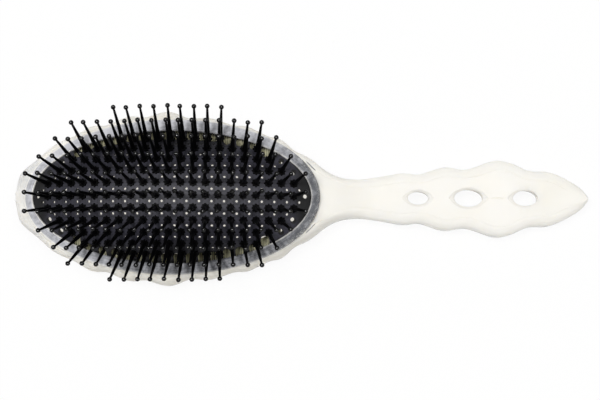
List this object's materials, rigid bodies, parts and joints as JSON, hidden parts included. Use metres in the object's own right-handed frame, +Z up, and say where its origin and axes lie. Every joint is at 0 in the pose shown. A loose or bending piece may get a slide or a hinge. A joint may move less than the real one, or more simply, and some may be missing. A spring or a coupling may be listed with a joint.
{
  "type": "detangling hair brush",
  "caption": "Flat-backed detangling brush: hollow milky body with a pierced waisted handle, and a domed rubber cushion of ball-ended pins clamped under an oval ring.",
  "frame": {"origin": "on the surface the brush lies on, below the middle of its overall length and width", "axes": "+X along the brush from the head towards the tail of the handle, +Z up from the back of the brush the way the pins stand, +Y to the left of +X seen from above"},
  "size_m": [0.238, 0.0724, 0.052],
  "materials": {
    "milky_shell": "milky translucent, satin",
    "frosted_ring": "clear frosted, lightly scratched",
    "olive_ring": "smoked translucent, satin",
    "pad_rubber": "matt",
    "pin_nylon": "satin black"
  },
  "bodies": {
    "frame": {"front_shell": "milky_shell", "back_shell": "milky_shell", "retaining_ring": "frosted_ring", "ribbed_ring": "olive_ring", "pad_skirt": "pad_rubber"},
    "pad": {"pad_panel": "pad_rubber"},
    "row_01": {"pin_row_01": "pin_nylon"},
    "row_02": {"pin_row_02": "pin_nylon"},
    "row_03": {"pin_row_03": "pin_nylon"},
    "row_04": {"pin_row_04": "pin_nylon"},
    "row_05": {"pin_row_05": "pin_nylon"},
    "row_06": {"pin_row_06": "pin_nylon"},
    "row_07": {"pin_row_07": "pin_nylon"},
    "row_08": {"pin_row_08": "pin_nylon"},
    "row_09": {"pin_row_09": "pin_nylon"},
    "row_10": {"pin_row_10": "pin_nylon"},
    "row_11": {"pin_row_11": "pin_nylon"}
  },
  "joints": [
    {"name": "pad_press", "type": "slide", "parent": "frame", "child": "pad", "axis": [0, 0, -1], "range_m": [0, 0.002], "stiffness_N_per_m": 2000, "deforming": ["pad_skirt"]},
    {"name": "row_01_rock", "type": "hinge", "parent": "pad", "child": "row_01", "pos_m": [-0.05241, -0.02272, 0.02306], "axis": [1, 0, 0], "range_deg": [-5, 5], "stiffness_Nm_per_rad": 0.0045},
    {"name": "row_02_rock", "type": "hinge", "parent": "pad", "child": "row_02", "pos_m": [-0.05241, -0.01871, 0.02456], "axis": [1, 0, 0], "range_deg": [-5, 5], "stiffness_Nm_per_rad": 0.0075},
    {"name": "row_03_rock", "type": "hinge", "parent": "pad", "child": "row_03", "pos_m": [-0.05241, -0.01434, 0.02624], "axis": [1, 0, 0], "range_deg": [-5, 5], "stiffness_Nm_per_rad": 0.0085},
    {"name": "row_04_rock", "type": "hinge", "parent": "pad", "child": "row_04", "pos_m": [-0.05241, -0.00971, 0.02722], "axis": [1, 0, 0], "range_deg": [-5, 5], "stiffness_Nm_per_rad": 0.0095},
    {"name": "row_05_rock", "type": "hinge", "parent": "pad", "child": "row_05", "pos_m": [-0.05241, -0.0049, 0.02746], "axis": [1, 0, 0], "range_deg": [-5, 5], "stiffness_Nm_per_rad": 0.0105},
    {"name": "row_06_rock", "type": "hinge", "parent": "pad", "child": "row_06", "pos_m": [-0.05241, 0, 0.02781], "axis": [1, 0, 0], "range_deg": [-5, 5], "stiffness_Nm_per_rad": 0.0105},
    {"name": "row_07_rock", "type": "hinge", "parent": "pad", "child": "row_07", "pos_m": [-0.05241, 0.0049, 0.02746], "axis": [1, 0, 0], "range_deg": [-5, 5], "stiffness_Nm_per_rad": 0.0105},
    {"name": "row_08_rock", "type": "hinge", "parent": "pad", "child": "row_08", "pos_m": [-0.05241, 0.00971, 0.02722], "axis": [1, 0, 0], "range_deg": [-5, 5], "stiffness_Nm_per_rad": 0.0095},
    {"name": "row_09_rock", "type": "hinge", "parent": "pad", "child": "row_09", "pos_m": [-0.05241, 0.01434, 0.02624], "axis": [1, 0, 0], "range_deg": [-5, 5], "stiffness_Nm_per_rad": 0.0085},
    {"name": "row_10_rock", "type": "hinge", "parent": "pad", "child": "row_10", "pos_m": [-0.05241, 0.01871, 0.02456], "axis": [1, 0, 0], "range_deg": [-5, 5], "stiffness_Nm_per_rad": 0.0075},
    {"name": "row_11_rock", "type": "hinge", "parent": "pad", "child": "row_11", "pos_m": [-0.05241, 0.02272, 0.02306], "axis": [1, 0, 0], "range_deg": [-5, 5], "stiffness_Nm_per_rad": 0.0045}
  ]
}
